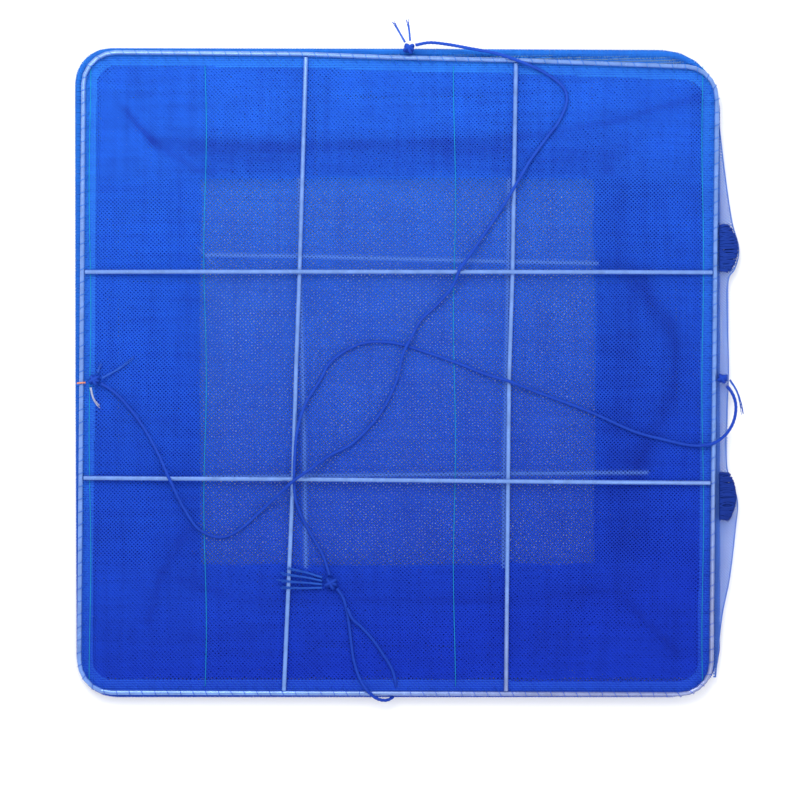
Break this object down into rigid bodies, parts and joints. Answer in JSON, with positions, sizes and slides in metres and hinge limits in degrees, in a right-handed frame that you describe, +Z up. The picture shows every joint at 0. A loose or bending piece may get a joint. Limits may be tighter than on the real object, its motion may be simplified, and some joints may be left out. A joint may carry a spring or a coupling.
{
  "type": "folding crab trap",
  "caption": "Folding square crab trap lying flat: two wire frames with crossed bars, blue net over both, net walls folded inward between them, mouth flaps and a cord bridle.",
  "frame": {"origin": "middle of the folded trap's outline, on the floor it lies on", "axes": "+Z up, out of the upper frame; +X towards the side where slack net stands out past the rims; +Y towards the side with the cord's two stiff tails"},
  "size_m": [0.6274, 0.6421, 0.0299],
  "materials": {
    "wire": "galvanised, dull",
    "net": "fine knotless twine",
    "selvedge": "laced net edge",
    "slack_net": "one slack layer of net",
    "gathered_net": "bunched net",
    "cord": "twisted cord",
    "cord_tail": "frayed cord",
    "orange_twine": "twine"
  },
  "bodies": {
    "low_frame": {"low_rim": "wire", "low_bar_a": "wire", "low_bar_b": "wire", "low_bar_c": "wire", "low_bar_d": "wire", "low_hem": "selvedge", "low_net": "net"},
    "top_frame": {"top_rim": "wire", "top_bar_a": "wire", "top_bar_b": "wire", "top_bar_c": "wire", "top_bar_d": "wire", "top_hem": "selvedge", "top_net": "net", "right_slack_net": "slack_net", "right_gather_far": "gathered_net", "right_gather_near": "gathered_net", "bridle_far_left": "cord", "bridle_right": "cord", "bridle_near": "cord", "knot_far": "cord", "knot_left": "cord", "knot_right": "cord", "knot_main": "cord", "far_tail_a": "cord_tail", "far_tail_b": "cord_tail", "left_tail_a": "cord_tail", "left_tail_b": "cord_tail", "left_tail_c": "cord_tail", "right_tail": "cord_tail", "main_tail_a": "cord_tail", "main_tail_b": "cord_tail", "main_tail_c": "cord_tail", "main_tail_d": "cord_tail", "twine_tie": "orange_twine"},
    "near_wall_lower": {"near_wall_lower": "net"},
    "near_flap_lower": {"near_flap_lower": "net"},
    "near_wall_upper": {"near_wall_upper": "net"},
    "near_flap_upper": {"near_flap_upper": "net"},
    "right_wall_lower": {"right_wall_lower": "net"},
    "right_flap_lower": {"right_flap_lower": "net"},
    "right_wall_upper": {"right_wall_upper": "net"},
    "right_flap_upper": {"right_flap_upper": "net"},
    "far_wall_lower": {"far_wall_lower": "net"},
    "far_flap_lower": {"far_flap_lower": "net"},
    "far_wall_upper": {"far_wall_upper": "net"},
    "far_flap_upper": {"far_flap_upper": "net"},
    "left_wall_lower": {"left_wall_lower": "net"},
    "left_flap_lower": {"left_flap_lower": "net"},
    "left_wall_upper": {"left_wall_upper": "net"},
    "left_flap_upper": {"left_flap_upper": "net"}
  },
  "joints": [
    {"name": "top_frame_lift", "type": "slide", "parent": "low_frame", "child": "top_frame", "axis": [0, 0, 1], "range_m": [0, 0.2142]},
    {"name": "near_lower_hinge", "type": "hinge", "parent": "low_frame", "child": "near_wall_lower", "pos_m": [-0.0117, -0.2865, 0.01065], "axis": [1, 0, 0], "range_deg": [0, 90], "deforming": ["near_wall_lower"]},
    {"name": "near_upper_hinge", "type": "hinge", "parent": "top_frame", "child": "near_wall_upper", "pos_m": [-0.0117, -0.2865, 0.01245], "axis": [-1, 0, 0], "range_deg": [0, 90], "deforming": ["near_wall_upper"]},
    {"name": "near_flap_lower_hinge", "type": "hinge", "parent": "near_wall_lower", "child": "near_flap_lower", "pos_m": [-0.0117, -0.2565, 0.01065], "axis": [-1, 0, 0], "range_deg": [0, 50], "deforming": ["near_flap_lower"]},
    {"name": "near_flap_upper_hinge", "type": "hinge", "parent": "near_wall_upper", "child": "near_flap_upper", "pos_m": [-0.0117, -0.2565, 0.01245], "axis": [1, 0, 0], "range_deg": [0, 50], "deforming": ["near_flap_upper"]},
    {"name": "right_lower_hinge", "type": "hinge", "parent": "low_frame", "child": "right_wall_lower", "pos_m": [0.2823, -0.0055, 0.00975], "axis": [0, 1, 0], "range_deg": [0, 90], "deforming": ["right_wall_lower"]},
    {"name": "right_upper_hinge", "type": "hinge", "parent": "top_frame", "child": "right_wall_upper", "pos_m": [0.2823, -0.0055, 0.01155], "axis": [0, -1, 0], "range_deg": [0, 90], "deforming": ["right_wall_upper"]},
    {"name": "right_flap_lower_hinge", "type": "hinge", "parent": "right_wall_lower", "child": "right_flap_lower", "pos_m": [0.2523, -0.0055, 0.00975], "axis": [0, -1, 0], "range_deg": [0, 50], "deforming": ["right_flap_lower"]},
    {"name": "right_flap_upper_hinge", "type": "hinge", "parent": "right_wall_upper", "child": "right_flap_upper", "pos_m": [0.2523, -0.0055, 0.01155], "axis": [0, 1, 0], "range_deg": [0, 50], "deforming": ["right_flap_upper"]},
    {"name": "far_lower_hinge", "type": "hinge", "parent": "low_frame", "child": "far_wall_lower", "pos_m": [-0.0117, 0.2905, 0.01065], "axis": [-1, 0, 0], "range_deg": [0, 90], "deforming": ["far_wall_lower"]},
    {"name": "far_upper_hinge", "type": "hinge", "parent": "top_frame", "child": "far_wall_upper", "pos_m": [-0.0117, 0.2905, 0.01245], "axis": [1, 0, 0], "range_deg": [0, 90], "deforming": ["far_wall_upper"]},
    {"name": "far_flap_lower_hinge", "type": "hinge", "parent": "far_wall_lower", "child": "far_flap_lower", "pos_m": [-0.0117, 0.2605, 0.01065], "axis": [1, 0, 0], "range_deg": [0, 50], "deforming": ["far_flap_lower"]},
    {"name": "far_flap_upper_hinge", "type": "hinge", "parent": "far_wall_upper", "child": "far_flap_upper", "pos_m": [-0.0117, 0.2605, 0.01245], "axis": [-1, 0, 0], "range_deg": [0, 50], "deforming": ["far_flap_upper"]},
    {"name": "left_lower_hinge", "type": "hinge", "parent": "low_frame", "child": "left_wall_lower", "pos_m": [-0.3027, 0.0005, 0.00975], "axis": [0, -1, 0], "range_deg": [0, 90], "deforming": ["left_wall_lower"]},
    {"name": "left_upper_hinge", "type": "hinge", "parent": "top_frame", "child": "left_wall_upper", "pos_m": [-0.3027, 0.0005, 0.01155], "axis": [0, 1, 0], "range_deg": [0, 90], "deforming": ["left_wall_upper"]},
    {"name": "left_flap_lower_hinge", "type": "hinge", "parent": "left_wall_lower", "child": "left_flap_lower", "pos_m": [-0.2727, 0.0005, 0.00975], "axis": [0, 1, 0], "range_deg": [0, 50], "deforming": ["left_flap_lower"]},
    {"name": "left_flap_upper_hinge", "type": "hinge", "parent": "left_wall_upper", "child": "left_flap_upper", "pos_m": [-0.2727, 0.0005, 0.01155], "axis": [0, -1, 0], "range_deg": [0, 50], "deforming": ["left_flap_upper"]}
  ],
  "couplings": [
    {"joint": "near_lower_hinge", "follows": "top_frame_lift", "rad_per_m": 7.3333},
    {"joint": "near_upper_hinge", "follows": "top_frame_lift", "rad_per_m": 7.3333},
    {"joint": "near_flap_lower_hinge", "follows": "top_frame_lift", "rad_per_m": 4.074},
    {"joint": "near_flap_upper_hinge", "follows": "top_frame_lift", "rad_per_m": 4.074},
    {"joint": "right_lower_hinge", "follows": "top_frame_lift", "rad_per_m": 7.3333},
    {"joint": "right_upper_hinge", "follows": "top_frame_lift", "rad_per_m": 7.3333},
    {"joint": "right_flap_lower_hinge", "follows": "top_frame_lift", "rad_per_m": 4.074},
    {"joint": "right_flap_upper_hinge", "follows": "top_frame_lift", "rad_per_m": 4.074},
    {"joint": "far_lower_hinge", "follows": "top_frame_lift", "rad_per_m": 7.3333},
    {"joint": "far_upper_hinge", "follows": "top_frame_lift", "rad_per_m": 7.3333},
    {"joint": "far_flap_lower_hinge", "follows": "top_frame_lift", "rad_per_m": 4.074},
    {"joint": "far_flap_upper_hinge", "follows": "top_frame_lift", "rad_per_m": 4.074},
    {"joint": "left_lower_hinge", "follows": "top_frame_lift", "rad_per_m": 7.3333},
    {"joint": "left_upper_hinge", "follows": "top_frame_lift", "rad_per_m": 7.3333},
    {"joint": "left_flap_lower_hinge", "follows": "top_frame_lift", "rad_per_m": 4.074},
    {"joint": "left_flap_upper_hinge", "follows": "top_frame_lift", "rad_per_m": 4.074}
  ]
}
